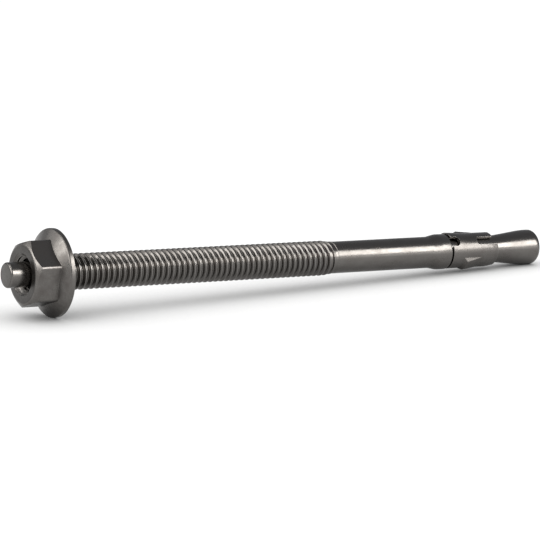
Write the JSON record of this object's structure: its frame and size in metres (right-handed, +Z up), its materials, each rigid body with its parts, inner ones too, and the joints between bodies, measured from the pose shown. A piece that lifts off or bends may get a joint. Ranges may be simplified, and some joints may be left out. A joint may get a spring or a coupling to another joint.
{
  "type": "wedge anchor",
  "caption": "Stainless through bolt for concrete: threaded stud with a flange nut, and an expansion clip on the neck before its cone.",
  "frame": {"origin": "centre of the nut's bearing face, on the stud's axis", "axes": "+X along the stud toward the expansion cone; +Z up as it lies; -Y toward the viewer's side, with the clip's front slot 42 degrees above it"},
  "size_m": [0.102, 0.0142, 0.0142],
  "materials": {
    "stud_steel": "drawn and rolled stainless, satin with fine lengthwise drawing lines",
    "nut_steel": "cold formed stainless, satin",
    "clip_steel": "pressed stainless strip, satin"
  },
  "bodies": {
    "stud": {"anchor_stud": "stud_steel"},
    "nut": {"flange_nut": "nut_steel"},
    "clip": {"expansion_clip": "clip_steel"}
  },
  "joints": [
    {"name": "nut_travel", "type": "slide", "parent": "stud", "child": "nut", "axis": [1, 0, 0], "range_m": [-0.002, 0.048]},
    {"name": "clip_turn", "type": "hinge", "parent": "stud", "child": "clip", "pos_m": [0.0795, 0, 0], "axis": [1, 0, 0], "continuous": true}
  ]
}
